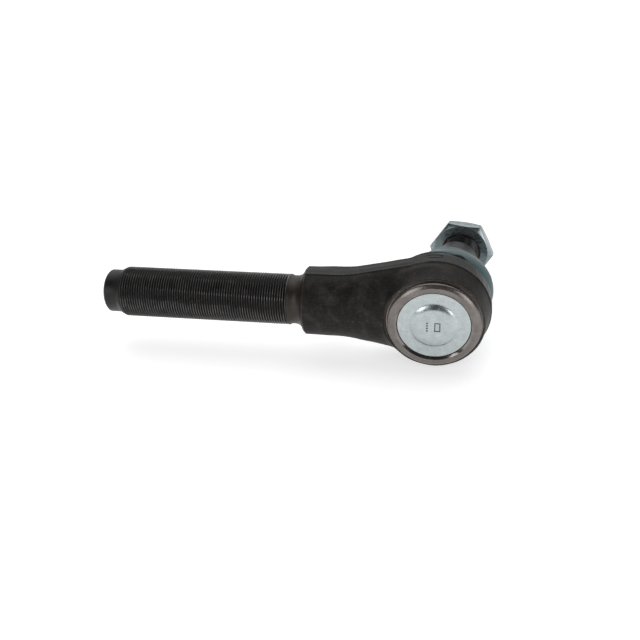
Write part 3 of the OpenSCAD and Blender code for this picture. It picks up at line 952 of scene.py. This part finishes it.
# ---- the object ----
housing_materials = [forged_skin(), shank_thread(), turned_neck(), rolled_lip(), trimmed_band(),
                     thread_crest(), lip_edge()]
forged = housing()
finish_piece(forged, "housing_body", housing_materials, ["housing"], 40,
             housing_kinds(forged))
cap_tones = [(0.37, 0.41, 0.415), (0.46, 0.50, 0.505), (0.55, 0.585, 0.59)]
# The stamped mark's darker zinc tones are painted shade in its recesses.
mark_shade_tones = [(0.10, 0.11, 0.115), (0.20, 0.215, 0.22), (0.3, 0.31, 0.315)]
cap = end_cap()
finish_piece(cap, "housing_body",
             [zinc("zinc_cap", cap_tones, 3.5, (0.2, 0.3)), zinc("zinc_marks_painted_shade", mark_shade_tones)], ["end_cap"],
             kinds=cap_kinds(cap))

ring_wire = wire()
finish_piece(clamp_ring(), "housing_body", [ring_wire], ["boot_clamp_ring"])
finish_piece(collar_ring(), "collar_body", [ring_wire], ["boot_collar_ring"])

boot = finish_piece(dust_boot(), None, [boot_rubber()], ["dust_boot"], 50)
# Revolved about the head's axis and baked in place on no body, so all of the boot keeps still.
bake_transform(boot)

finish_piece(ball_stud(), "stud_body", [stud_steel()], ["ball_stud"])
nut_tones = [(0.19, 0.225, 0.235), (0.29, 0.335, 0.35), (0.40, 0.45, 0.46)]
finish_piece(lock_nut(), "nut_body",
             [zinc("zinc_nut", nut_tones, 2.5, (0.22, 0.34))], ["lock_nut"], 30)

acetal = plain_inner("acetal", [(0.60, 0.56, 0.46), (0.70, 0.66, 0.55), (0.78, 0.75, 0.66)], (0.35, 0.5))
inner_finishes = {
    "upper_bearing_seat": acetal,
    "lower_bearing_seat": acetal,
    "disc_spring": plain_inner("spring_steel", [(0.05, 0.06, 0.08), (0.11, 0.12, 0.15),
                                                (0.3, 0.3, 0.32)], (0.25, 0.4), 0.8),
    "cap_seal_ring": plain_inner("seal_rubber", [(0.010, 0.010, 0.010), (0.022, 0.022, 0.022),
                                                 (0.05, 0.05, 0.05)], (0.45, 0.6)),
}
for node, material in inner_finishes.items():
    mesh = frame["nodes"][node].data
    mesh.materials.clear()
    mesh.materials.append(material)
    mesh.shade_smooth()


# ---- studio ----
def sun_light(name, towards, spread, power):
    """A soft, even light from one direction; spread is in degrees."""
    lamp = bpy.data.lights.new(name, "SUN")
    lamp.angle = math.radians(spread)
    lamp.energy = power
    obj = bpy.data.objects.new(name, lamp)
    obj.rotation_euler = (-Vector(towards)).to_track_quat("-Z", "Y").to_euler()
    bpy.context.scene.collection.objects.link(obj)


def soft_box(name, place, size, power):
    """A square soft light aimed at the object."""
    lamp = bpy.data.lights.new(name, "AREA")
    lamp.size = size
    lamp.energy = power
    obj = bpy.data.objects.new(name, lamp)
    obj.location = place
    obj.rotation_euler = (-Vector(place)).to_track_quat("-Z", "Y").to_euler()
    bpy.context.scene.collection.objects.link(obj)


def studio():
    scene = bpy.context.scene
    floor_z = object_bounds()[0].z - 0.0002
    mesh = bpy.data.meshes.new("floor")
    half = 6.0
    mesh.from_pydata([(-half, -half, floor_z), (half, -half, floor_z), (half, half, floor_z),
                      (-half, half, floor_z)], [], [(0, 1, 2, 3)])
    floor = bpy.data.objects.new("floor", mesh)
    scene.collection.objects.link(floor)
    f = Finish("floor", specular=0.1)
    grain = f.noise(60, 3)
    pale = f.ramp(grain, [(0.3, (0.79, 0.79, 0.79)), (0.7, (0.81, 0.81, 0.81))])
    f.shader.inputs["Emission Color"].default_value = (1, 1, 1, 1)
    f.shader.inputs["Emission Strength"].default_value = 0.62
    floor.data.materials.append(f.done(pale, f.scale(grain, 0.7, 0.8)))
    floor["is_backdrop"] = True

    world = bpy.data.worlds.new("studio")
    scene.world = world
    world.use_nodes = True
    nodes, links = world.node_tree.nodes, world.node_tree.links
    towards = nodes.new("ShaderNodeVectorMath")
    towards.operation = "DOT_PRODUCT"
    towards.inputs[1].default_value = (0, 0.8, 0.6)
    links.new(nodes.new("ShaderNodeTexCoord").outputs["Generated"], towards.inputs[0])
    ramp = nodes.new("ShaderNodeValToRGB")
    ramp.color_ramp.interpolation = "EASE"
    ramp.color_ramp.elements[0].position = 0.25
    ramp.color_ramp.elements[0].color = (0.05, 0.05, 0.055, 1)
    ramp.color_ramp.elements[1].position = 0.9
    ramp.color_ramp.elements[1].color = (1, 1, 1, 1)
    links.new(towards.outputs["Value"], ramp.inputs["Fac"])
    links.new(ramp.outputs["Color"], nodes["Background"].inputs["Color"])
    nodes["Background"].inputs["Strength"].default_value = 0.85
    sun_light("overhead", (-0.1, 0.6, 1), 70, 0.8)
    soft_box("left", (-0.95, -1.15, 0.55), 0.75, 6.0)
    soft_box("right", (1.05, -0.85, 0.45), 0.75, 6.0)
    scene.view_settings.view_transform = "Standard"


def camera():
    """Stands where the cap side is seen from about 30 degrees above."""
    lens = bpy.data.cameras.new("camera")
    lens.lens = 44.49
    lens.sensor_width = 36
    lens.clip_start = 0.01
    obj = bpy.data.objects.new("camera", lens)
    obj.location = (0.01597, -0.3935, 0.2276)
    obj.rotation_euler = Euler([math.radians(a) for a in (59.049, 2.657, 10.430)], "XYZ")
    bpy.context.scene.collection.objects.link(obj)
    bpy.context.scene.camera = obj


studio()
camera()
